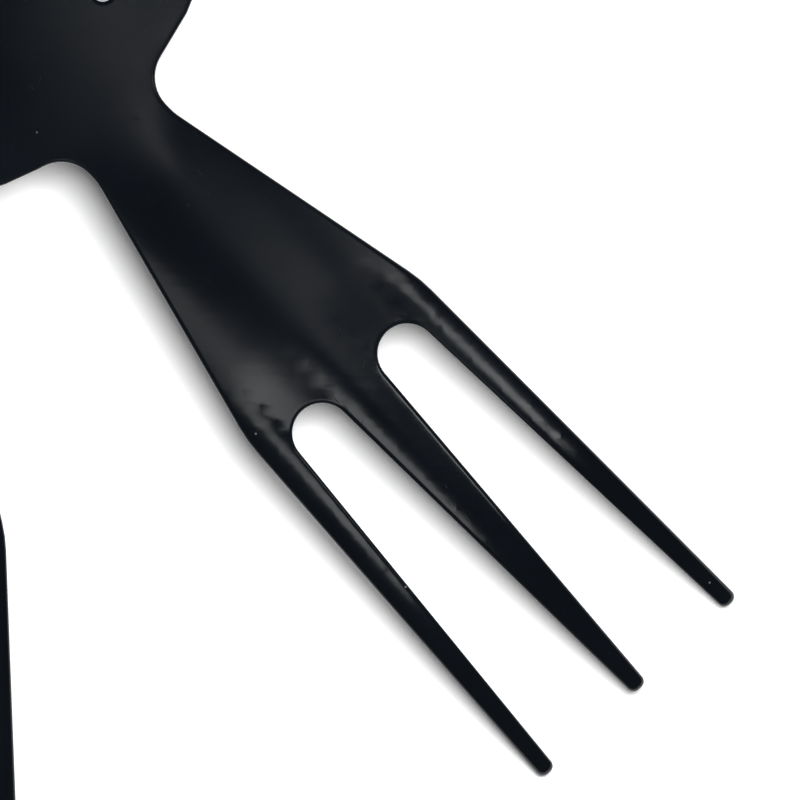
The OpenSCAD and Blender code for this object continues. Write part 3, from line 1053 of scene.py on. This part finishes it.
def screwSteel():
    material, tree, shader, coord = newMaterial("screwSteel", 0.3, 1.0)
    place = coord.outputs["Object"]
    brushed = node(tree, "TexNoise", Scale=1500.0, Detail=2.0)
    link(tree, place, brushed.inputs["Vector"])
    stain = node(tree, "TexNoise", Scale=240.0, Detail=4.0)
    link(tree, place, stain.inputs["Vector"])
    colour = mixColour(tree, ramp(tree, stain.outputs[0], 0.45, 0.7), (0.62, 0.62, 0.64), (0.42, 0.40, 0.38))
    link(tree, colour, shader.inputs["Base Color"])
    link(tree, ramp(tree, stain.outputs[0], 0.35, 0.7, 0.25, 0.5), shader.inputs["Roughness"])
    bump(tree, shader, brushed.outputs[0], 0.2, 0.00003)
    return material


def cloth(name, dark, light, along, across, depth, sheen):
    material, tree, shader, coord = newMaterial(name, 0.85, **{"Sheen Weight": sheen, "Sheen Roughness": 0.4})
    weave = useGroup(tree, "weave", coord.outputs["UV"], Along=along, Across=across)
    fuzz = node(tree, "TexNoise", Scale=1800.0, Detail=3.0)
    link(tree, coord.outputs["Object"], fuzz.inputs["Vector"])
    cloud = node(tree, "TexNoise", Scale=70.0, Detail=3.0)
    link(tree, coord.outputs["Object"], cloud.inputs["Vector"])
    thread = mixColour(tree, weave.outputs["Over"], dark, light)
    rubbed = math2(tree, "MULTIPLY", ramp(tree, cloud.outputs[0], 0.45, 0.75), 0.5)
    thread = mixColour(tree, rubbed, thread, tuple(v * 1.7 for v in light))
    # Painted shade: the colour darkens where the threads dip between one another.
    hollowShade = ramp(tree, weave.outputs["Height"], 0.1, 0.7, 0.75, 0.0)
    colour = mixColour(tree, hollowShade, thread, tuple(v * 0.3 for v in dark))
    link(tree, colour, shader.inputs["Base Color"])
    link(tree, ramp(tree, fuzz.outputs[0], 0.3, 0.7, 0.78, 0.95), shader.inputs["Roughness"])
    normal = bump(tree, shader, weave.outputs["Height"], 0.8, depth)
    bump(tree, shader, fuzz.outputs[0], 0.3, depth * 0.3, normal)
    return material


def floorLook():
    # Pale where it lights the object; the camera sees it whiter, with only the deeper shadows.
    material = bpy.data.materials.new("paleFloor")
    material.use_nodes = True
    tree = material.node_tree
    tree.nodes.remove(tree.nodes["Principled BSDF"])
    shader = node(tree, "BsdfDiffuse")
    grain = node(tree, "TexNoise", Scale=400.0, Detail=2.0)
    coord = node(tree, "TexCoord")
    link(tree, coord.outputs["Object"], grain.inputs["Vector"])
    path = node(tree, "LightPath")
    pale = mixColour(tree, grain.outputs[0], (stage["floor"],) * 3, (stage["floor"] + 0.01,) * 3)
    link(tree, mixColour(tree, path.outputs["Is Camera Ray"], pale, (stage["seenFloor"],) * 3), shader.inputs["Color"])
    link(tree, shader.outputs[0], tree.nodes["Material Output"].inputs["Surface"])
    return material


# Stage, lamps and camera

stage = {
    "floorSize": 8.0,
    "floor": 0.84,
    "seenFloor": 1.45,              # the floor's value to the camera
    "world": 0.11,
    "seenWorld": 0.05,              # what the gloss sees away from the soft boxes
    "keyPower": 46.0,
    "keySize": 0.53,
    "keyPlace": (-0.16, -0.165, 2.2),   # from what the camera looks at
    "cameraHeight": 5.0,
    "frameWidth": 0.160,
    "sensor": 36.0,
    "middle": (-102.7, 103.95),     # what the camera looks at, in millimetres from the left palm's middle
    "middleHeight": 0.035,
    "boxHeight": 1.5,
}
# Soft boxes over the outer finger: forward along it and outward from its axis, from and to,
# in metres, and brightness.
softBoxes = {
    "bodyBox": (0.47, 0.62, 0.02, 0.38, 0.85),
    "tineBox": (0.62, 0.88, -0.66, -0.36, 2.4),
    "outerBox": (0.64, 0.88, 0.60, 0.88, 4.2),
    "edgeBox": (0.38, 0.62, -0.64, -0.42, 0.85),
    "hubBox": (0.14, 0.31, 0.055, 0.12, 1.5),
}


def lampObject(name, spot, size, power, aim):
    data = bpy.data.lights.new(name, "AREA")
    data.shape = "RECTANGLE"
    data.size, data.size_y = size
    data.energy = power
    lamp = bpy.data.objects.new(name, data)
    bpy.context.scene.collection.objects.link(lamp)
    lamp.matrix_world = aim
    lamp.location = spot
    lamp.visible_camera = False
    return lamp


def overheadBox(name, box):
    # A lamp that only reflections see, level above the outer finger.
    forward0, forward1, out0, out1, brightness = box
    turn = math.radians(claw["fingerAngle"])
    along = Vector((-math.sin(turn), math.cos(turn), 0))
    across = Vector((-math.cos(turn), -math.sin(turn), 0))
    spot = palmMiddle + along * (forward0 + forward1) / 2 + across * (out0 + out1) / 2
    spot.z = stage["boxHeight"]
    width, length = out1 - out0, forward1 - forward0
    aim = Matrix(((across.x, along.x, 0), (across.y, along.y, 0), (0, 0, 1))).to_4x4()
    lamp = lampObject(name, spot, (width, length), brightness * math.pi * width * length, aim)
    lamp.visible_diffuse = False
    return lamp


def buildStage():
    deselectAll()
    bpy.ops.mesh.primitive_plane_add(size=stage["floorSize"])
    floor = bpy.context.object
    floor.name = "floor"
    floor.data.materials.append(floorLook())
    scene = bpy.context.scene
    scene.view_settings.view_transform = "Standard"
    world = bpy.data.worlds.new("studio")
    scene.world = world
    world.use_nodes = True
    tree = world.node_tree
    back = tree.nodes["Background"]
    back.inputs["Color"].default_value = (1, 1, 1, 1)
    path = node(tree, "LightPath")
    dim = ramp(tree, path.outputs["Is Glossy Ray"], 0.0, 1.0, stage["world"], stage["seenWorld"])
    link(tree, math2(tree, "MAXIMUM", dim, path.outputs["Is Camera Ray"]), back.inputs["Strength"])
    middle = Vector((palmMiddle.x + stage["middle"][0] * mm, palmMiddle.y + stage["middle"][1] * mm,
                     stage["middleHeight"]))
    spot = middle + Vector(stage["keyPlace"])
    aim = (middle - spot).to_track_quat("-Z", "Y").to_matrix().to_4x4()
    key = lampObject("mainBox", spot, (stage["keySize"],) * 2, stage["keyPower"], aim)
    key.visible_glossy = False
    for name, box in softBoxes.items():
        overheadBox(name, box)
    camera = bpy.data.objects.new("camera", bpy.data.cameras.new("camera"))
    scene.collection.objects.link(camera)
    scene.camera = camera
    camera.location = (middle.x, middle.y, stage["cameraHeight"])
    camera.rotation_euler = (0, 0, math.pi)
    camera.data.sensor_width = stage["sensor"]
    camera.data.lens = stage["sensor"] * (stage["cameraHeight"] - stage["middleHeight"]) / stage["frameWidth"]
    camera.data.clip_end = 20


# Assembly

def settle(thing, name, material):
    # From a hand's millimetres to the frame's metres.
    thing.data.transform(Matrix.Translation(palmMiddle) @ Matrix.Scale(mm, 4))
    thing.name = name
    thing.data.name = name
    thing.data.materials.clear()
    thing.data.materials.append(material)
    return thing


def mirrored(thing, name):
    # The right hand's piece is the left one's across the plane x = 0.
    twin = bpy.data.objects.new(name, thing.data.copy())
    bpy.context.scene.collection.objects.link(twin)
    twin.data.name = name
    twin.data.transform(Matrix.Scale(-1, 4, Vector((1, 0, 0))))
    twin.data.flip_normals()
    return twin


pieces = [
    # name, maker, material, CAD node, slot, body, smoothing angle
    ("Claw", buildClaw, clawPlastic, "claw", "claw_plastic", "hand", 40),
    ("GripBridge", buildBridge, lambda: grainPlastic("bridgePlastic", (0.022, 0.0225, 0.024), 0.42),
     "grip_bridge", "bridge_plastic", "hand", 35),
    ("GripSleeve", buildSleeve, sleeveRubber, "grip_sleeve", "sleeve_rubber", "hand", 40),
    ("GripScrews", buildScrews, screwSteel, "grip_screws", "screw_steel", "hand", 35),
    ("HandStrap", buildStrap,
     lambda: cloth("webbing", (0.012, 0.012, 0.013), (0.024, 0.024, 0.026), 0.9, 0.9, 0.0003, 0.25),
     "hand_strap", "webbing", "hand", 50),
    ("StrapPad", buildPad,
     lambda: cloth("padCloth", (0.035, 0.036, 0.04), (0.06, 0.062, 0.068), 1.6, 1.6, 0.0002, 0.35),
     "strap_pad", "pad_cloth", "hand", 60),
    ("StrapKeeper", buildKeeper, lambda: grainPlastic("keeperPlastic", (0.016, 0.0165, 0.018), 0.3, 1800.0, 0.00003),
     "strap_keeper", "keeper_plastic", "keeper", 40),
]
for name, maker, look, cadNode, slotName, body, angle in pieces:
    piece = settle(maker(), "left" + name, look())
    smooth(piece, angle)
    twin = mirrored(piece, "right" + name)
    for side, thing in (("left", piece), ("right", twin)):
        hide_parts(side + "_" + cadNode)
        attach(thing, side + "_" + body)
    print("made", name, len(piece.data.polygons), "faces")
buildStage()
